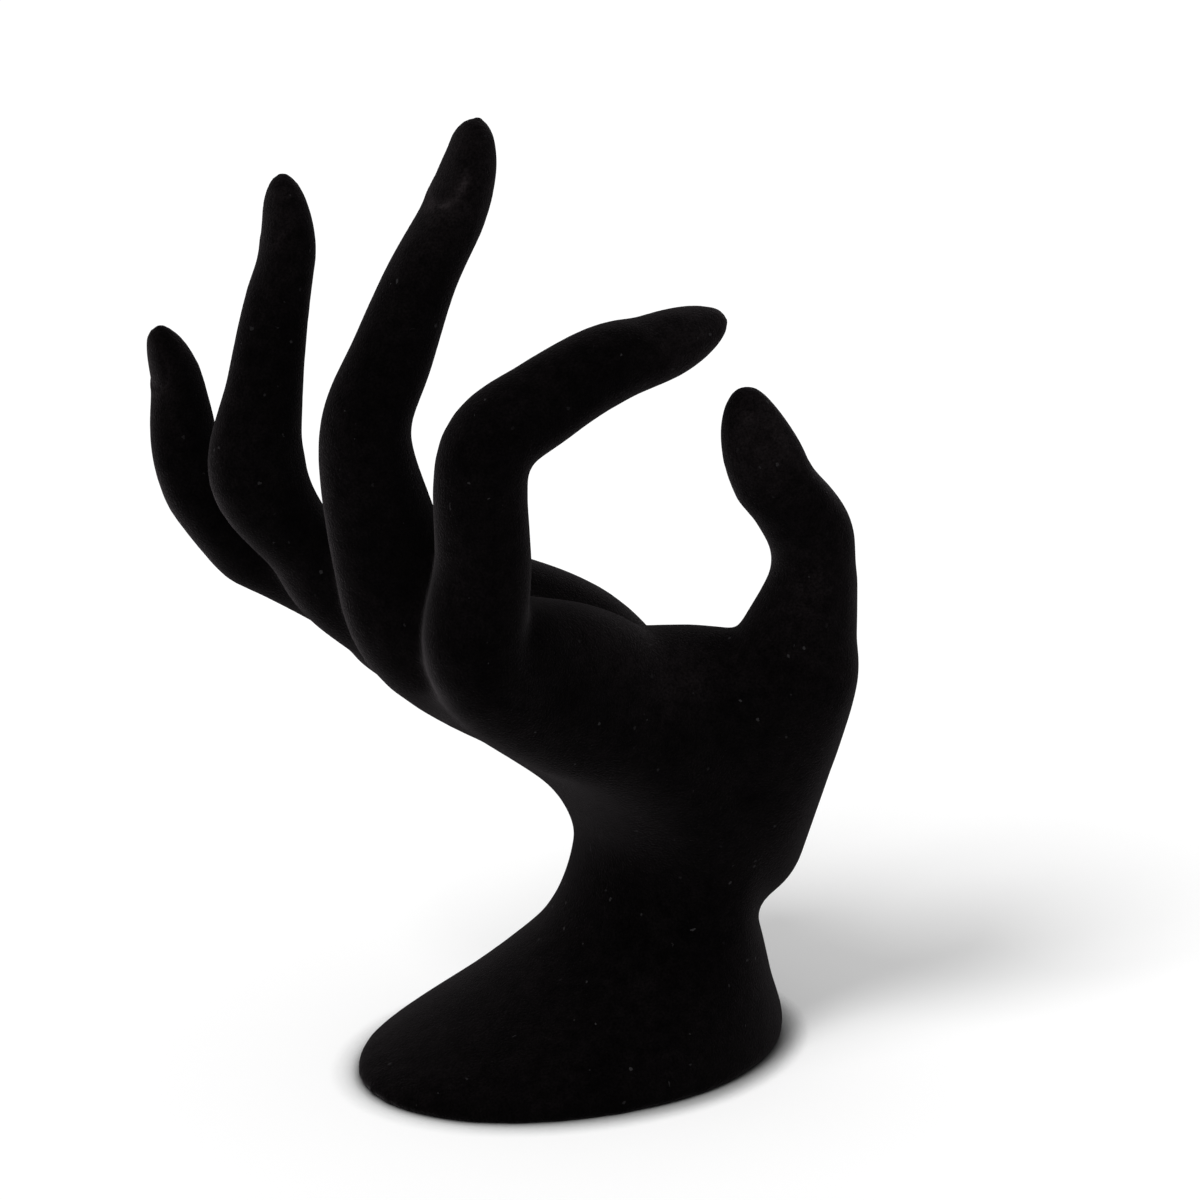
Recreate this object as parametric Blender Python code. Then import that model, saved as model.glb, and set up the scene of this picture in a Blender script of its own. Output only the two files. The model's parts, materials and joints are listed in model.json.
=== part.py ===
"""Hand jewelry stand: one flocked casting of a left hand rising from an oval foot.

The hand bends back at the wrist, so its palm faces up, and the index finger and
thumb curl towards each other. X runs towards the palm and thumb, Y from the index
finger to the little finger, and Z up. The origin is the middle of the foot's sole.
"""
import math

import bmesh
import bpy
from mathutils import Vector

# Foot, in metres
FOOT_LENGTH = 0.0787        # along X
FOOT_WIDTH = 0.0580         # along Y
NOSE_RIM_HEIGHT = 0.0020    # rounded rim under the sloping top, at the front
HEEL_RIM_HEIGHT = 0.0010    # and at the rear
FOOT_EDGE_ROUND = 0.0009    # how far the sole's edge draws in
WIDEST_SHARE = 0.07         # of half its length, how far the widest part is behind the middle
FLOOR_DEPTH = 0.0240        # of the block that cuts the sole flat

# Wrist
WRIST_SETBACK = 0.0188      # from the middle of the foot towards +X
WRIST_HEIGHT = 0.0290
WRIST_THICKNESS = 0.0300
WRIST_WIDTH = 0.0405
WRIST_TILT = 27.0           # degrees, the narrowest ring drops towards +X

# Palm
PALM_LENGTH = 0.0740        # wrist to the row of knuckles
PALM_LEAN = 46.4            # degrees from upright, towards -X
PALM_WIDTH = 0.0560
PALM_THICKNESS = 0.0250

# Nails
NAIL_RISE = 0.0003          # plate above the fingertip
NAIL_SPAN = 56.0            # degrees each way round the fingertip
NAIL_START_SHARE = 0.08     # along the tip's taper
NAIL_END_SHARE = 0.90
NAIL_DEPTH = 0.80           # inner face, as a share of the fingertip's own section
CUTICLE_SHARE = 0.35        # of the nail's length, which its rounded root takes
CUTICLE_START = 0.10        # how far round that root the plate begins
NAIL_ROWS = 9
NAIL_STEPS = 8

# Skin
GRAIN = 0.0010              # voxel that fuses the lofts
PALM_PASSES = 24            # smoothing passes over the palm
SKIN_PASSES = 5             # smoothing passes over the whole hand
FACE_COUNT = 10200
RING_POINTS = 28
SPAN_STEPS = 6
CAP_RINGS = 7
CAP_REACH = 0.95            # of the quarter turn that closes an end
PAD_SHARE = 0.38            # along the last bone, where the fingertip is fullest
END_FULLNESS = 2.2          # of the other rounded ends, 2 is an ellipse, more is blunter

# Edge of the sole from under the floor up to the rim: height and how far it draws in,
# as shares of the edge's rounding
SOLE_EDGE = ((-5.0, 2.4), (-1.0, 1.8), (0.0, 1.0), (0.6, 0.3))
# Top of the foot between rim and wrist: run and rise of its front, run and rise of
# its rear, and narrowing, each as a share of the way from the rim to the wrist
FOOT_SLOPE = (
    (0.08, 0.04, 0.09, 0.07, 0.08),
    (0.22, 0.12, 0.16, 0.21, 0.23),
    (0.46, 0.25, 0.37, 0.39, 0.50),
    (0.70, 0.41, 0.53, 0.58, 0.73),
    (0.84, 0.53, 0.66, 0.75, 0.90),
    (0.94, 0.73, 0.79, 0.89, 0.98),
)
# Palm between wrist and knuckles: back (along, raised), palm side (along, raised) and
# width, as shares of the palm's length, thickness and width
PALM_SECTIONS = (
    (0.23, -0.14, -0.13, 0.56, 0.78),
    (0.31, -0.07, -0.06, 0.80, 0.84),
    (0.41, -0.05, 0.05, 0.98, 0.90),
    (0.54, -0.08, 0.25, 1.04, 0.95),
    (0.70, -0.12, 0.50, 0.98, 0.98),
    (0.86, -0.15, 0.77, 0.76, 0.99),
    (0.97, -0.21, 0.94, 0.44, 0.90),
)
# Flesh of the palm: centres from the wrist (along, across, raised), and radii
PADS = {
    "little_side": (
        (0.002, 0.0070, 0.0095, 0.0095), (0.011, 0.0135, 0.0150, 0.0118),
        (0.028, 0.0160, 0.0190, 0.0130), (0.045, 0.0170, 0.0155, 0.0128),
        (0.062, 0.0175, 0.0095, 0.0110), (0.074, 0.0180, 0.0060, 0.0088),
    ),
    "web": (
        (0.066, -0.0195, 0.0110, 0.0090), (0.053, -0.0165, 0.0165, 0.0098),
        (0.041, -0.0150, 0.0180, 0.0104), (0.029, -0.0158, 0.0256, 0.0108),
        (0.018, -0.0200, 0.0322, 0.0104),
    ),
    "thumb_base": (
        (0.002, -0.0050, 0.0117, 0.0114), (0.016, -0.0088, 0.0198, 0.0147),
        (0.030, -0.0120, 0.0165, 0.0150), (0.046, -0.0125, 0.0120, 0.0130),
        (0.062, -0.0130, 0.0065, 0.0110),
    ),
}

# Digits: root and knuckle from the wrist (along, across, raised), bone lengths, leans
# towards +X and splays towards +Y in degrees, and girths (half across, half towards
# the pad, half towards the back) at root, knuckle, each bone's middle and end, and the
# fingertip. The thumb's first bone is given as two halves, so that its waist has a girth.
# The tip closes with a fullness (2 is an ellipse) and a lift towards its back.
DIGITS = {
    "index": {
        "root": (0.030, -0.0120, 0.0100), "knuckle": (PALM_LENGTH - 0.0050, -0.0215, 0.0053),
        "bones": (0.0372, 0.0240, 0.0234), "leans": (-1.5, 59.5, 82.5), "splays": (-3.0, -2.5, -1.0),
        "girths": (
            (0.0090, 0.0100, 0.0090), (0.0083, 0.0092, 0.0086), (0.0076, 0.0073, 0.0080),
            (0.0073, 0.0074, 0.0073), (0.0068, 0.0061, 0.0079), (0.0064, 0.0074, 0.0057),
            (0.0062, 0.0062, 0.0048),
        ),
        "tip": (1.7, 0.0009),
    },
    "middle": {
        "root": (0.030, -0.0040, 0.0100), "knuckle": (PALM_LENGTH - 0.0025, -0.0075, 0.0032),
        "bones": (0.0390, 0.0268, 0.0269), "leans": (-16.2, 22.0, 27.0), "splays": (-0.5, 1.0, 1.0),
        "girths": (
            (0.0090, 0.0100, 0.0088), (0.0083, 0.0090, 0.0088), (0.0078, 0.0078, 0.0108),
            (0.0073, 0.0075, 0.0070), (0.0064, 0.0070, 0.0063), (0.0058, 0.0068, 0.0044),
            (0.0057, 0.0074, 0.0022),
        ),
        "tip": (2.0, 0.0005),
    },
    "ring": {
        "root": (0.030, 0.0040, 0.0100), "knuckle": (PALM_LENGTH + 0.0035, 0.0060, 0.0037),
        "bones": (0.0308, 0.0280, 0.0215), "leans": (-38.6, 13.4, 8.0), "splays": (3.5, 4.5, 3.0),
        "girths": (
            (0.0086, 0.0096, 0.0084), (0.0080, 0.0072, 0.0080), (0.0074, 0.0050, 0.0074),
            (0.0067, 0.0100, 0.0067), (0.0059, 0.0065, 0.0061), (0.0054, 0.0052, 0.0052),
            (0.0053, 0.0058, 0.0029),
        ),
        "tip": (1.75, 0.0010),
    },
    "little": {
        "root": (0.030, 0.0130, 0.0110), "knuckle": (PALM_LENGTH + 0.0080, 0.0190, 0.0021),
        "bones": (0.0228, 0.0130, 0.0178), "leans": (-51.5, -9.0, -5.5), "splays": (6.0, 12.0, 7.0),
        "girths": (
            (0.0080, 0.0090, 0.0074), (0.0074, 0.0076, 0.0066), (0.0066, 0.0066, 0.0078),
            (0.0060, 0.0060, 0.0044), (0.0054, 0.0058, 0.0055), (0.0051, 0.0062, 0.0046),
            (0.0050, 0.0056, 0.0027),
        ),
        "tip": (1.7, 0.0007),
    },
    "thumb": {
        "root": (0.000, -0.0085, 0.0088), "knuckle": (0.0188, -0.0231, 0.0353),
        "bones": (0.0150, 0.0141, 0.0286), "leans": (4.0, 4.0, -28.0), "splays": (-4.0, -4.0, 2.0),
        "girths": (
            (0.0106, 0.0126, 0.0150), (0.0102, 0.0144, 0.0101), (0.0091, 0.0122, 0.0097),
            (0.0080, 0.0079, 0.0092), (0.0073, 0.0052, 0.0082), (0.0071, 0.0086, 0.0058),
            (0.0070, 0.0095, 0.0034),
        ),
        "tip": (2.0, 0.0002),
    },
}

ACROSS = Vector((0.0, 1.0, 0.0))


def heading(lean, splay):
    """Unit vector that leans from upright towards +X and splays towards +Y."""
    lean, splay = math.radians(lean), math.radians(splay)
    level = math.cos(splay)
    return Vector((math.sin(lean) * level, math.sin(splay), math.cos(lean) * level))


WRIST = Vector((WRIST_SETBACK, 0.0, WRIST_HEIGHT))
PALM_ALONG = heading(-PALM_LEAN, 0.0)
PALM_RAISED = ACROSS.cross(PALM_ALONG)


def clear_scene():
    for item in list(bpy.data.objects):
        bpy.data.objects.remove(item, do_unlink=True)


def palm_point(along, across, raised):
    """Point measured from the wrist in the palm's own directions."""
    return WRIST + PALM_ALONG * along + ACROSS * across + PALM_RAISED * raised


def spline(stations):
    """Catmull-Rom curve through rows of numbers."""
    rows = [stations[0], *stations, stations[-1]]
    curve = []
    for before, start, end, after in zip(rows, rows[1:], rows[2:], rows[3:]):
        for step in range(SPAN_STEPS):
            t = step / SPAN_STEPS
            curve.append([
                0.5 * (2 * b + (c - a) * t + (2 * a - 5 * b + 4 * c - d) * t ** 2
                       + (3 * b - a - 3 * c + d) * t ** 3)
                for a, b, c, d in zip(before, start, end, after)
            ])
    curve.append(list(stations[-1]))
    return curve


def section(centre, side, pad, girth, scale=1.0):
    """One closed ring, with its own reach across, towards its pad and towards its back."""
    across, to_pad, to_back = (size * scale for size in girth)
    ring = []
    for index in range(RING_POINTS):
        angle = math.tau * index / RING_POINTS
        height = math.sin(angle) * (to_pad if index * 2 < RING_POINTS else to_back)
        ring.append(centre + side * (math.cos(angle) * across) + pad * height)
    return ring


def frame_across(tangent, side_hint):
    """Side and pad directions of a ring that faces along a tangent."""
    side = (side_hint - tangent * side_hint.dot(tangent)).normalized()
    return side, side.cross(tangent)


def rounded_end(centre, reach, side_hint, outward, girth, fullness=END_FULLNESS):
    """Rings that close over an end, from its full girth outwards."""
    side, pad = frame_across(reach.normalized() * outward, side_hint)
    rings = []
    for ring in range(1, CAP_RINGS + 1):
        angle = math.pi / 2 * CAP_REACH * ring / CAP_RINGS
        run = math.sin(angle) ** (2 / fullness)
        scale = math.cos(angle) ** (2 / fullness)
        rings.append(section(centre + reach * run, side, pad, girth, scale))
    return rings


def add_loft(skin, rings):
    """Skin over a run of rings, closed at both ends."""
    rows = [[skin.verts.new(point) for point in ring] for ring in rings]
    for lower, upper in zip(rows, rows[1:]):
        for index in range(RING_POINTS):
            after = (index + 1) % RING_POINTS
            skin.faces.new((lower[index], lower[after], upper[after], upper[index]))
    skin.faces.new(list(reversed(rows[0])))
    skin.faces.new(rows[-1])


def add_tube(skin, path, side_hint, end_reach=None, end_fullness=END_FULLNESS):
    """Loft along a path of rows (x, y, z, and a girth), with both ends rounded."""
    points = [Vector(row[:3]) for row in path]
    girths = [row[3:] for row in path]
    rings = []
    for index, (point, girth) in enumerate(zip(points, girths)):
        ahead = points[min(index + 1, len(points) - 1)]
        tangent = (ahead - points[max(index - 1, 0)]).normalized()
        rings.append(section(point, *frame_across(tangent, side_hint), girth))
    start_reach = (points[0] - points[1]).normalized() * min(girths[0])
    start = rounded_end(points[0], start_reach, side_hint, -1, girths[0])
    if end_reach is None:
        end_reach = (points[-1] - points[-2]).normalized() * min(girths[-1])
    end = rounded_end(points[-1], end_reach, side_hint, 1, girths[-1], end_fullness)
    add_loft(skin, [*reversed(start), *rings, *end])


def body_stations():
    """Foot, wrist and palm from the sole up: front, rear (x, z), half width, widest share."""
    half_length, half_width = FOOT_LENGTH / 2, FOOT_WIDTH / 2
    stations = []
    for height_share, inset_share in SOLE_EDGE:
        height, inset = height_share * FOOT_EDGE_ROUND, inset_share * FOOT_EDGE_ROUND
        reach = half_length - inset
        stations.append((-reach, height, reach, height, half_width - inset, WIDEST_SHARE))
    rim = (-half_length, NOSE_RIM_HEIGHT, half_length, HEEL_RIM_HEIGHT, half_width, WIDEST_SHARE)
    stations.append(rim)

    tilt = math.radians(WRIST_TILT)
    run, drop = math.cos(tilt) * WRIST_THICKNESS / 2, math.sin(tilt) * WRIST_THICKNESS / 2
    wrist = (WRIST.x - run, WRIST.z + drop, WRIST.x + run, WRIST.z - drop, WRIST_WIDTH / 2, 0.0)
    for front_run, front_rise, rear_run, rear_rise, narrowing in FOOT_SLOPE:
        shares = (front_run, front_rise, rear_run, rear_rise, narrowing, narrowing)
        stations.append([low + (high - low) * share for low, high, share in zip(rim, wrist, shares)])
    stations.append(wrist)

    for back_along, back_raised, pad_along, pad_raised, width in PALM_SECTIONS:
        back = palm_point(back_along * PALM_LENGTH, 0.0, back_raised * PALM_THICKNESS)
        front = palm_point(pad_along * PALM_LENGTH, 0.0, pad_raised * PALM_THICKNESS)
        stations.append((back.x, back.z, front.x, front.z, width * PALM_WIDTH / 2, 0.0))
    return stations


def add_body(skin):
    rings = []
    for front_x, front_z, rear_x, rear_z, half, widest in spline(body_stations()):
        front, rear = Vector((front_x, 0.0, front_z)), Vector((rear_x, 0.0, rear_z))
        reach = (rear - front) / 2
        centre = front + reach * (1 + widest)
        girth = (half, reach.length * (1 - widest), reach.length * (1 + widest))
        rings.append(section(centre, ACROSS, reach.normalized(), girth))
    add_loft(skin, rings)


def add_pads(skin):
    for pad in PADS.values():
        stations = [(*palm_point(along, across, raised), radius, radius, radius)
                    for along, across, raised, radius in pad]
        add_tube(skin, spline(stations), ACROSS)


def digit_path(digit, side_hint):
    """A digit's centre line with its girths, and its tip's reach and fullness."""
    knuckle = palm_point(*digit["knuckle"])
    points = [palm_point(*digit["root"]), knuckle]
    for length, lean, splay in zip(digit["bones"], digit["leans"], digit["splays"]):
        bone = heading(lean, splay) * length
        points += [points[-1] + bone / 2, points[-1] + bone]
    taper = bone * (1 - PAD_SHARE)
    points[-2:] = [points[-1] - taper]
    path = spline([(*point, *girth) for point, girth in zip(points, digit["girths"])])
    _, pad = frame_across(taper.normalized(), side_hint)
    fullness, lift = digit["tip"]
    return path, taper - pad * lift, fullness


def side_of(name):
    """The thumb's pad faces the fingers, so its sides are swapped."""
    return -ACROSS if name == "thumb" else ACROSS


def add_metacarpals(skin):
    for name, digit in DIGITS.items():
        path, *_ = digit_path(digit, side_of(name))
        add_tube(skin, path[:SPAN_STEPS + 2], side_of(name))


def add_digits(skin):
    for name, digit in DIGITS.items():
        path, reach, fullness = digit_path(digit, side_of(name))
        add_tube(skin, path[SPAN_STEPS - 2:], side_of(name), reach, fullness)


def add_object(name, skin):
    mesh = bpy.data.meshes.new(name)
    skin.to_mesh(mesh)
    skin.free()
    item = bpy.data.objects.new(name, mesh)
    bpy.context.scene.collection.objects.link(item)
    return item


def fuse(item, passes):
    """Merge the overlapping lofts into one surface and soften it."""
    voxels = item.modifiers.new("fuse", "REMESH")
    voxels.mode = "VOXEL"
    voxels.voxel_size = GRAIN
    soften = item.modifiers.new("soften", "SMOOTH")
    soften.factor = 0.5
    soften.iterations = passes


def evaluated_mesh(item):
    bpy.context.view_layer.update()
    return bpy.data.meshes.new_from_object(item.evaluated_get(bpy.context.evaluated_depsgraph_get()))


def softened_palm():
    skin = bmesh.new()
    add_body(skin)
    add_pads(skin)
    add_metacarpals(skin)
    palm = add_object("palm", skin)
    fuse(palm, PALM_PASSES)
    mesh = evaluated_mesh(palm)
    bpy.data.objects.remove(palm, do_unlink=True)
    return mesh


def add_guide(name, skin):
    """A solid that only shapes the hand."""
    guide = add_object(name, skin)
    guide.hide_render = True
    guide.display_type = "WIRE"
    return guide


def floor_block():
    """Cutter that leaves the sole flat at Z = 0."""
    skin = bmesh.new()
    bmesh.ops.create_cube(skin, size=1.0)
    size = Vector((2 * FOOT_LENGTH, 2 * FOOT_WIDTH, FLOOR_DEPTH))
    bmesh.ops.scale(skin, verts=skin.verts, vec=size)
    bmesh.ops.translate(skin, verts=skin.verts, vec=Vector((0.0, 0.0, -size.z / 2)))
    return add_guide("floor_block", skin)


def nail_ring(centre, side, back, girth, scale, half_angle):
    """Closed ring of a nail: an arc just above the fingertip and one inside it."""
    across, to_pad, to_back = (size * scale for size in girth)
    angles = [half_angle * (step / NAIL_STEPS - 0.5) * 2 for step in range(NAIL_STEPS + 1)]
    outer = [centre + side * (math.sin(angle) * (across + NAIL_RISE))
             + back * (math.cos(angle) * (to_back + NAIL_RISE)) for angle in angles]
    inner = [centre + side * (math.sin(angle) * across * NAIL_DEPTH)
             + back * (math.cos(angle) * to_back * NAIL_DEPTH) for angle in reversed(angles)]
    return outer + inner


def add_nail(skin, digit, side_hint):
    """Plate on the back of a fingertip, from its rounded cuticle to its free edge."""
    path, reach, fullness = digit_path(digit, side_hint)
    start, girth = Vector(path[-1][:3]), path[-1][3:]
    side, pad = frame_across(reach.normalized(), side_hint)
    rows = []
    for step in range(NAIL_ROWS + 1):
        share = step / NAIL_ROWS
        run = NAIL_START_SHARE + (NAIL_END_SHARE - NAIL_START_SHARE) * share
        scale = (1 - run ** fullness) ** (1 / fullness)
        roundness = math.sqrt(1 - (1 - min(1.0, CUTICLE_START + share / CUTICLE_SHARE)) ** 2)
        ring = nail_ring(start + reach * run, side, -pad, girth, scale,
                         math.radians(NAIL_SPAN) * roundness)
        rows.append([skin.verts.new(point) for point in ring])
    for lower, upper in zip(rows, rows[1:]):
        for index in range(len(lower)):
            after = (index + 1) % len(lower)
            skin.faces.new((lower[index], lower[after], upper[after], upper[index]))
    skin.faces.new(list(reversed(rows[0])))
    skin.faces.new(rows[-1])


def nail_plates():
    skin = bmesh.new()
    for name, digit in DIGITS.items():
        add_nail(skin, digit, side_of(name))
    bmesh.ops.recalc_face_normals(skin, faces=skin.faces)
    return add_guide("nail_plates", skin)


def combine(item, guide, operation):
    step = item.modifiers.new(guide.name, "BOOLEAN")
    step.operation = operation
    step.object = guide
    step.solver = "EXACT"


def flock_material():
    material = bpy.data.materials.new("black_flock")
    material.use_nodes = True
    shader = material.node_tree.nodes["Principled BSDF"]
    shader.inputs["Base Color"].default_value = (0.006, 0.0055, 0.006, 1.0)
    shader.inputs["Roughness"].default_value = 0.95
    shader.inputs["Metallic"].default_value = 0.0
    return material


def make_hand():
    skin = bmesh.new()
    skin.from_mesh(softened_palm())
    add_digits(skin)
    hand = add_object("flocked_hand", skin)
    fuse(hand, SKIN_PASSES)

    thin = hand.modifiers.new("thin", "DECIMATE")
    fused_faces = evaluated_mesh(hand)
    thin.ratio = min(1.0, FACE_COUNT / (2 * len(fused_faces.polygons)))
    bpy.data.meshes.remove(fused_faces)

    combine(hand, floor_block(), "DIFFERENCE")
    combine(hand, nail_plates(), "UNION")
    hand.data.materials.append(flock_material())
    return hand


clear_scene()
make_hand()
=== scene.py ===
import math

import bpy
import numpy as np
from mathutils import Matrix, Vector
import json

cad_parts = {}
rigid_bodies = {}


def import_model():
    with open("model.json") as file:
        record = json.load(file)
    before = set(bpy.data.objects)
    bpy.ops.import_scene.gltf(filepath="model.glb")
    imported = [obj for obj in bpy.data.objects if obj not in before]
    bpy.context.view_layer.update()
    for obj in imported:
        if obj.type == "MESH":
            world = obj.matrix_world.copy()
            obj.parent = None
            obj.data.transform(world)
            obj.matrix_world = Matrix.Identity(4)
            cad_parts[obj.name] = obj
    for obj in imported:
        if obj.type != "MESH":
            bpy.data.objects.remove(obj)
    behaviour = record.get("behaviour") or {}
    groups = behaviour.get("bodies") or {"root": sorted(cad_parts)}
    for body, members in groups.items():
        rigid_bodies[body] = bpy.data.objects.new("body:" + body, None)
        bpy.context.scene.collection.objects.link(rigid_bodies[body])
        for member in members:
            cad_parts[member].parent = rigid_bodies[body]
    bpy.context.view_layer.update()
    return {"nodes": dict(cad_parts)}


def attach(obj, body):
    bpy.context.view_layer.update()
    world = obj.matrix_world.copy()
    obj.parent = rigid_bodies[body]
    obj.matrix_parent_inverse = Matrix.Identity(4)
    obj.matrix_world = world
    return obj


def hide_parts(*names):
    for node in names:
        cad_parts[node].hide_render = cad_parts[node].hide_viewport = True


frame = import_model()
print("frame loaded:", ", ".join(frame["nodes"]))

# camera, at the angle and distance of the photograph
shot = {
    "azimuth": -30.0,  # degrees round the stand
    "elevation": 19.5,
    "distance": 0.8,
    "target": (0.00733, 0.0025, 0.079),
    "lens": 144.0,
    "sensor": 36.0,
    "clipStart": 0.01,
}

# floor and light
studio = {
    "floorSize": 6.0,
    "floorColour": 0.90,
    "floorGlow": 0.18,  # for camera and glossy rays alone, so the floor reaches white
    "contactReach": 0.0052,  # how far the painted contact shadow darkens the floor round the foot
    "contactPower": 3.0,
    "contactSamples": 4,
    "ambient": 0.46,
    "keyStrength": 2.15,
    "keyAngle": 24.0,  # degrees across, softens the shadow
    "keyAzimuth": 197.0,  # where the light stands, round from +X
    "keyElevation": 49.0,
}

# surface of the hand
skin = {
    "voxel": 0.0008,
    "smoothFactor": 0.5,
    "smoothPasses": 10,
    "grow": 0.00012,  # makes up for what the smoothing takes
    "weld": 0.00001,
    "easedCore": 0.4,  # of an eased place's reach, smoothed in full
}

# creases to ease out: middle, reach and smoothing passes
eased = {
    "wrist": ((0.0000, -0.0060, 0.0460), 0.026, 290),
    "thumbWaist": ((0.0250, -0.0250, 0.0920), 0.0130, 160),
    "palmCrest": ((-0.0080, -0.0215, 0.0860), 0.0140, 185),
    "indexNail": ((0.0020, -0.0246, 0.1350), 0.0070, 27),
    "ringNail": ((-0.0490, 0.0105, 0.1457), 0.0080, 46),
    "thumbNail": ((0.0290, -0.0248, 0.1085), 0.0070, 27),
    "middleEnd": ((-0.0200, -0.0070, 0.1665), 0.0050, 16),
}

# places to fill out: middle, reach and height
filled = {
    "middleEnd": ((-0.0226, -0.0070, 0.1662), 0.0068, 0.0008),
    "thumbWaist": ((0.0250, -0.0240, 0.0925), 0.0080, 0.0008),
}

# nails: middle of the finger where its tip starts to taper, reach to the end, the way
# the pad faces, half widths (across, towards the back), fullness of the taper, where the
# nail's root lies along it, how far it lies under the skin there, and how pale the flock
# is round that root
nails = {
    "index": ((0.0010, -0.0246, 0.1309), (0.0143, -0.0003, 0.0028), (0.1917, 0.0, -0.9815),
              (0.0062, 0.0048), 1.70, 0.08, 0.00004, 0.0),
    "middle": ((-0.0270, -0.0072, 0.1520), (0.0071, 0.0003, 0.0151), (0.9042, 0.0, -0.4271),
               (0.0057, 0.0022), 2.00, 0.06, 0.00035, 2.6),
    "ring": ((-0.0463, 0.0105, 0.1444), (0.0009, 0.0007, 0.0133), (0.9979, 0.0, -0.0646),
             (0.0053, 0.0029), 1.75, 0.10, 0.00012, 0.5),
    "little": ((-0.0595, 0.0249, 0.1204), (-0.0017, 0.0013, 0.0108), (0.9873, 0.0, 0.1591),
               (0.0050, 0.0027), 1.70, 0.03, 0.00040, 0.3),
    "thumb": ((0.0265, -0.0248, 0.1061), (-0.0081, 0.0006, 0.0157), (-0.8882, 0.0, -0.4595),
              (0.0070, 0.0034), 2.00, 0.02, 0.00006, 0.0),
}

# shape of every nail, in shares of its fingertip's taper unless another unit is given
nailShape = {
    "span": 62.0,  # degrees each way from the middle of the back
    "rootLength": 0.34,  # which the rounded root takes
    "levelStart": 0.2,  # past the root, where the nail starts to rise
    "levelEnd": 0.80,  # where it comes level
    "foldWidth": 0.0011,  # metres
    "foldFade": (0.25, 0.5),  # past the root, where the pale fold fades
    "runBefore": 0.1,  # before the root and past the end, where a nail stops
    "runPast": 1.05,
    "around": 1.15,
    "taperLimit": 0.97,
    "finer": 0.0090,  # metres round the fingertip's middle line, gets a finer mesh
    "finerBefore": 0.2,  # before the taper
}

# painted sheen, where the base colour is made paler for the light and sheen on the fingertips, thumb and
# palm's crest: middle, reach and amount
paintedSheenAndPaleFolds = {
    "indexTip": ((0.0090, -0.0246, 0.1320), 0.020, 1.5),
    "middleTip": ((-0.0225, -0.0070, 0.1600), 0.026, 1.1),
    "ringTip": ((-0.0458, 0.0110, 0.1520), 0.022, 0.9),
    "littleTip": ((-0.0610, 0.0256, 0.1270), 0.018, 0.4),
    "thumbTip": ((0.0165, -0.0250, 0.1140), 0.020, 2.1),
    "thumb": ((0.0300, -0.0300, 0.0850), 0.022, 0.7),
    "crest": ((0.0060, -0.0230, 0.0780), 0.016, 1.6),
    "crestEnd": ((-0.0080, -0.0215, 0.0860), 0.012, 1.0),
}

flock = {
    "base": (0.0018, 0.00145, 0.00155),
    "roughness": 0.95,
    "sheen": 0.094,
    "sheenRoughness": 0.37,
    "sheenTint": (0.83, 0.76, 0.80, 1.0),
    "napDepth": 0.00020,
    # tufts, mottling and brushed patches: scale per metre, detail, roughness, and how far
    # each darkens and lightens the flock
    "layers": {
        "nap": (2600.0, 2.0, 0.65, 0.5, 1.5),
        "mottle": (420.0, 3.0, 0.6, 0.6, 1.4),
        "brush": (75.0, 2.0, 0.55, 0.75, 1.25),
    },
    "layerRange": (0.3, 0.7),  # of the noise, spread over that
    "lint": (0.022, 0.021, 0.022),
    "lintScale": 420.0,
    "ruffleScale": 1500.0,  # makes each speck ragged
    "ruffle": 0.0007,
    # specks and two lays of short fibres: stretch, turn, half width and how rare
    "lintKinds": (
        ((1.0, 1.0, 1.0), (0.0, 0.0, 0.0), 0.120, 0.70),
        ((1.0, 1.0, 0.2), (0.6, 0.4, 0.0), 0.060, 0.76),
        ((0.2, 1.0, 1.0), (0.0, 0.5, 0.9), 0.060, 0.76),
    ),
}


def direction(turn, rise):
    turn, rise = math.radians(turn), math.radians(rise)
    return Vector((math.cos(turn) * math.cos(rise), math.sin(turn) * math.cos(rise), math.sin(rise)))


def lookAt(item, place, target):
    item.location = place
    item.rotation_euler = (Vector(target) - Vector(place)).to_track_quat("-Z", "Y").to_euler()


def makeCamera(spec):
    bpy.ops.object.camera_add()
    camera = bpy.context.active_object
    camera.name = "camera"
    camera.data.lens = spec["lens"]
    camera.data.sensor_width = spec["sensor"]
    camera.data.clip_start = spec["clipStart"]
    back = direction(spec["azimuth"] - 90, spec["elevation"])
    lookAt(camera, Vector(spec["target"]) + back * spec["distance"], spec["target"])
    bpy.context.scene.camera = camera


def addNode(tree, kind, **settings):
    node = tree.nodes.new(kind)
    for name, value in settings.items():
        if name in node.inputs:
            node.inputs[name].default_value = value
        else:
            setattr(node, name, value)
    return node


def addMath(tree, operation, *values):
    node = addNode(tree, "ShaderNodeMath", operation=operation)
    for socket, value in zip(node.inputs, values):
        if isinstance(value, float):
            socket.default_value = value
        else:
            tree.links.new(value, socket)
    return node.outputs[0]


def scaleColour(tree, colour, factor):
    node = addNode(tree, "ShaderNodeVectorMath", operation="SCALE")
    node.inputs[0].default_value = colour
    tree.links.new(factor, node.inputs["Scale"])
    return node.outputs[0]


def mapRange(tree, value, *limits):
    node = addNode(tree, "ShaderNodeMapRange")
    for name, limit in zip(("From Min", "From Max", "To Min", "To Max"), limits):
        node.inputs[name].default_value = limit
    tree.links.new(value, node.inputs["Value"])
    return node.outputs[0]


def addSeenRays(tree):
    rays = addNode(tree, "ShaderNodeLightPath")
    return addMath(tree, "MAXIMUM", rays.outputs["Is Camera Ray"], rays.outputs["Is Glossy Ray"])


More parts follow.
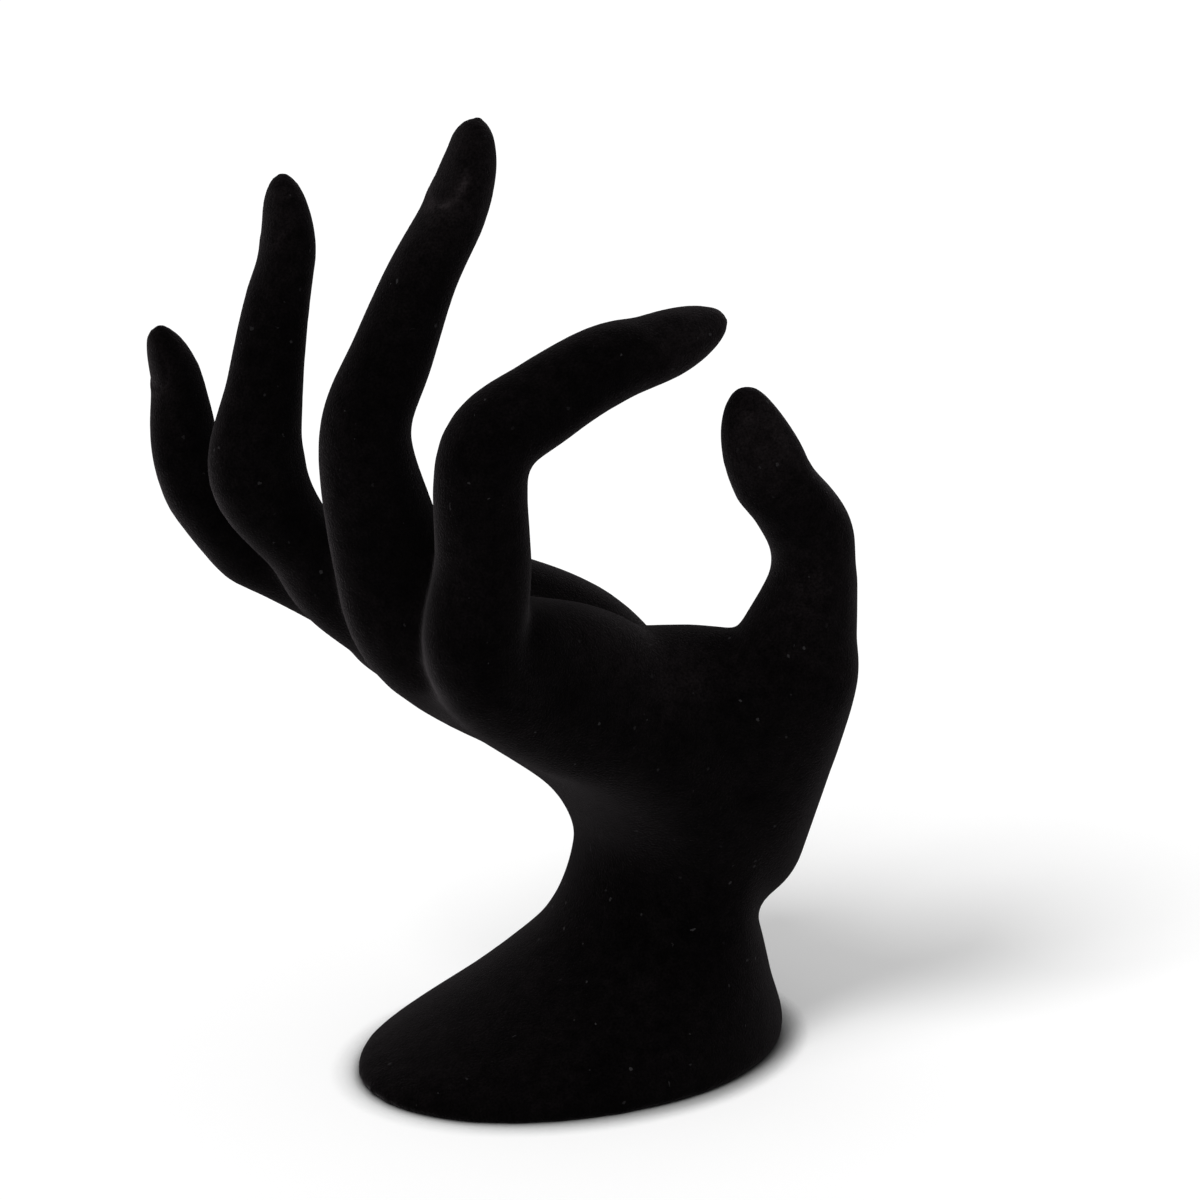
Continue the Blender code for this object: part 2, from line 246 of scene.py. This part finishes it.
def makeFloorMaterial(spec):
    material = bpy.data.materials.new("paleFloor")
    material.use_nodes = True
    tree = material.node_tree
    links = tree.links
    shader = tree.nodes["Principled BSDF"]
    shader.inputs["Roughness"].default_value = 1.0
    shader.inputs["Specular IOR Level"].default_value = 0.0

    # painted contact shadow: the floor's colour darkens where the foot stands close over it
    hidden = addNode(tree, "ShaderNodeAmbientOcclusion", Distance=spec["contactReach"])
    hidden.samples = spec["contactSamples"]
    paintedContactShadow = addMath(tree, "POWER", hidden.outputs["AO"], spec["contactPower"])
    links.new(scaleColour(tree, [spec["floorColour"]] * 3, paintedContactShadow), shader.inputs["Base Color"])

    # the glow for camera and glossy rays carries the same painted contact shadow
    glow = addNode(tree, "ShaderNodeEmission")
    links.new(paintedContactShadow, glow.inputs["Color"])
    links.new(addMath(tree, "MULTIPLY", addSeenRays(tree), spec["floorGlow"]), glow.inputs["Strength"])
    both = addNode(tree, "ShaderNodeAddShader")
    links.new(shader.outputs[0], both.inputs[0])
    links.new(glow.outputs[0], both.inputs[1])
    links.new(both.outputs[0], tree.nodes["Material Output"].inputs["Surface"])
    return material


def makeStudio(spec):
    bpy.ops.mesh.primitive_plane_add(size=spec["floorSize"])
    floor = bpy.context.active_object
    floor.name = "floor"
    floor.data.materials.append(makeFloorMaterial(spec))

    world = bpy.data.worlds.new("studio")
    bpy.context.scene.world = world
    world.use_nodes = True
    tree = world.node_tree
    background = tree.nodes["Background"]
    background.inputs["Color"].default_value = (1.0, 1.0, 1.0, 1.0)
    strength = mapRange(tree, addSeenRays(tree), 0.0, 1.0, spec["ambient"], 1.0)
    tree.links.new(strength, background.inputs["Strength"])

    bpy.ops.object.light_add(type="SUN")
    key = bpy.context.active_object
    key.name = "key"
    key.data.energy = spec["keyStrength"]
    key.data.angle = math.radians(spec["keyAngle"])
    lookAt(key, direction(spec["keyAzimuth"], spec["keyElevation"]), (0, 0, 0))


def addShade(tree, place, spec):
    shade, noises = None, {}
    for name, (scale, detail, rough, low, high) in spec["layers"].items():
        noise = addNode(tree, "ShaderNodeTexNoise", Scale=scale, Detail=detail, Roughness=rough)
        tree.links.new(place, noise.inputs["Vector"])
        noises[name] = noise.outputs["Fac"]
        layer = mapRange(tree, noises[name], *spec["layerRange"], low, high)
        shade = layer if shade is None else addMath(tree, "MULTIPLY", shade, layer)
    # the base colour grows paler by this attribute: painted sheen on the fingertips, thumb and crest,
    # and the pale folds round the nail roots
    pale = addNode(tree, "ShaderNodeAttribute", attribute_name="paintedSheenAndPaleFolds")
    return addMath(tree, "MULTIPLY_ADD", pale.outputs["Fac"], shade, shade), noises["nap"]


def addLint(tree, place, spec):
    ruffle = addNode(tree, "ShaderNodeTexNoise", Scale=spec["ruffleScale"], Detail=1.0)
    tree.links.new(place, ruffle.inputs["Vector"])
    ragged = addNode(tree, "ShaderNodeVectorMath", operation="MULTIPLY_ADD")
    ragged.inputs[1].default_value = [spec["ruffle"]] * 3
    tree.links.new(ruffle.outputs["Color"], ragged.inputs[0])
    tree.links.new(place, ragged.inputs[2])
    lint = None
    for stretch, turn, radius, rarity in spec["lintKinds"]:
        laid = addNode(tree, "ShaderNodeMapping", Scale=stretch, Rotation=turn)
        tree.links.new(ragged.outputs[0], laid.inputs["Vector"])
        cells = addNode(tree, "ShaderNodeTexVoronoi", Scale=spec["lintScale"])
        tree.links.new(laid.outputs[0], cells.inputs["Vector"])
        chance = addNode(tree, "ShaderNodeSeparateColor")
        tree.links.new(cells.outputs["Color"], chance.inputs[0])
        near = addMath(tree, "LESS_THAN", cells.outputs["Distance"], radius)
        rare = mapRange(tree, chance.outputs["Red"], rarity, 1.0, 0.0, 1.0)
        speck = addMath(tree, "MULTIPLY", near, rare)
        lint = speck if lint is None else addMath(tree, "MAXIMUM", lint, speck)
    return lint


def makeFlockMaterial(spec):
    material = bpy.data.materials.new("blackFlock")
    material.use_nodes = True
    tree = material.node_tree
    links = tree.links
    shader = tree.nodes["Principled BSDF"]
    shader.inputs["Roughness"].default_value = spec["roughness"]
    shader.inputs["Specular IOR Level"].default_value = 0.0
    shader.inputs["Sheen Weight"].default_value = spec["sheen"]
    shader.inputs["Sheen Roughness"].default_value = spec["sheenRoughness"]
    shader.inputs["Sheen Tint"].default_value = spec["sheenTint"]

    place = addNode(tree, "ShaderNodeTexCoord").outputs["Object"]
    shade, nap = addShade(tree, place, spec)
    colour = addNode(tree, "ShaderNodeMix", data_type="RGBA")
    colour.inputs["B"].default_value = (*spec["lint"], 1.0)
    links.new(addLint(tree, place, spec), colour.inputs["Factor"])
    links.new(scaleColour(tree, spec["base"], shade), colour.inputs["A"])
    links.new(colour.outputs["Result"], shader.inputs["Base Color"])

    bump = addNode(tree, "ShaderNodeBump", Strength=1.0, Distance=spec["napDepth"])
    links.new(nap, bump.inputs["Height"])
    links.new(bump.outputs[0], shader.inputs["Normal"])
    return material


def copyNode(name, pieceName):
    bpy.ops.object.select_all(action="DESELECT")
    node = frame["nodes"][name]
    node.select_set(True)
    bpy.context.view_layer.objects.active = node
    bpy.ops.object.duplicate()
    piece = bpy.context.active_object
    piece.name = piece.data.name = pieceName
    bpy.ops.object.parent_clear(type="CLEAR_KEEP_TRANSFORM")
    piece.data.materials.clear()
    return piece


def applyModifier(piece, kind, **settings):
    step = piece.modifiers.new(kind.lower(), kind)
    for name, value in settings.items():
        setattr(step, name, value)
    bpy.ops.object.modifier_apply(modifier=step.name)


def smoothStep(value, low, high):
    share = np.clip((value - low) / (high - low), 0.0, 1.0)
    return share * share * (3 - 2 * share)


def readVectors(piece, name):
    values = np.empty(len(piece.data.vertices) * 3)
    piece.data.vertices.foreach_get(name, values)
    return values.reshape(-1, 3)


def easeCreases(piece):
    for name, (middle, reach, passes) in eased.items():
        away = np.linalg.norm(readVectors(piece, "co") - middle, axis=1)
        weight = 1 - smoothStep(away, reach * skin["easedCore"], reach)
        group = piece.vertex_groups.new(name=name)
        for index in np.flatnonzero(away < reach):
            group.add([int(index)], float(weight[index]), "REPLACE")
        applyModifier(piece, "SMOOTH", factor=skin["smoothFactor"], iterations=passes, vertex_group=name)


def refineNails(piece):
    points = readVectors(piece, "co")
    close = np.zeros(len(points), bool)
    before = -nailShape["finerBefore"]
    for start, reach, *_ in nails.values():
        start, reach = np.array(start), np.array(reach)
        share = np.clip((points - start) @ reach / (reach @ reach), before, 1.0)
        away = np.linalg.norm(points - start - share[:, None] * reach, axis=1)
        close |= (away < nailShape["finer"]) & (share > before)
    piece.data.vertices.foreach_set("select", close)
    bpy.ops.object.mode_set(mode="EDIT")
    bpy.ops.mesh.select_mode(type="VERT")
    bpy.ops.mesh.subdivide(number_cuts=1)
    bpy.ops.object.mode_set(mode="OBJECT")


def nailMarks(points, start, reach, pad, girth, fullness, root, sink, pale):
    shape = nailShape
    start, reach, pad = np.array(start), np.array(reach), np.array(pad)
    across, back = girth
    length = np.linalg.norm(reach)
    axis = reach / length
    side = np.cross(axis, pad)
    away = points - start
    run = away @ axis / length
    scale = (1 - np.clip(run, 0.0, shape["taperLimit"]) ** fullness) ** (1 / fullness)
    angle = np.arctan2(away @ side / across, -(away @ pad) / back)
    # distance inside the nail's outline, from its sides and from its rounded root
    rounding = np.clip((run - root) / shape["rootLength"], 0, 1)
    reachRound = np.sqrt(1 - (1 - rounding) ** 2)
    radius = (across + back) / 2 * scale
    inside = (math.radians(shape["span"]) * reachRound - np.abs(angle)) * radius
    inside = np.minimum(inside, (run - root) * length)
    near = (run > root - shape["runBefore"]) & (run < shape["runPast"])
    near &= np.linalg.norm(away, axis=1) < length * shape["around"]
    sunk = smoothStep(inside, -shape["foldWidth"] / 2, shape["foldWidth"] / 2)
    level = 1 - smoothStep(run, root + shape["levelStart"], shape["levelEnd"])
    fadeStart, fadeEnd = shape["foldFade"]
    fold = np.exp(-(inside / shape["foldWidth"]) ** 2)
    fold *= 1 - smoothStep(run, root + fadeStart, root + fadeEnd)
    return np.where(near, sunk * level * sink, 0.0), np.where(near, fold * pale, 0.0)


def sumSpots(points, spots):
    total = np.zeros(len(points))
    for middle, reach, amount in spots.values():
        away = np.linalg.norm(points - middle, axis=1)
        total += amount * (1 - smoothStep(away, 0.0, reach))
    return total


def markSurface(piece):
    points, normals = readVectors(piece, "co"), readVectors(piece, "normal")
    # paleness is the painted sheen of the spot list plus the pale folds round the nail roots
    paleness, height = sumSpots(points, paintedSheenAndPaleFolds), sumSpots(points, filled)
    for nail in nails.values():
        depth, fold = nailMarks(points, *nail)
        height -= depth
        paleness += fold
    piece.data.attributes.new("paintedSheenAndPaleFolds", "FLOAT", "POINT").data.foreach_set("value", paleness)
    points += normals * height[:, None]
    piece.data.vertices.foreach_set("co", points.ravel())
    piece.data.update()


def makeHand():
    piece = copyNode("flocked_hand", "velvetHand")
    bpy.ops.object.mode_set(mode="EDIT")
    bpy.ops.mesh.select_all(action="SELECT")
    bpy.ops.mesh.remove_doubles(threshold=skin["weld"])
    bpy.ops.object.mode_set(mode="OBJECT")
    applyModifier(piece, "REMESH", mode="VOXEL", voxel_size=skin["voxel"])
    applyModifier(piece, "SMOOTH", factor=skin["smoothFactor"], iterations=skin["smoothPasses"])
    applyModifier(piece, "DISPLACE", strength=skin["grow"], mid_level=0.0)
    easeCreases(piece)
    refineNails(piece)
    markSurface(piece)
    bpy.ops.object.shade_smooth()
    triangles = sum(len(face.vertices) - 2 for face in piece.data.polygons)
    print("hand:", len(piece.data.vertices), "vertices", triangles, "triangles")
    piece.data.materials.append(makeFlockMaterial(flock))
    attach(piece, "root")
    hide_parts("flocked_hand")


def writeSize():
    import json


makeCamera(shot)
makeStudio(studio)
bpy.context.scene.view_settings.view_transform = "Standard"
print("camera and studio made")
makeHand()
writeSize()
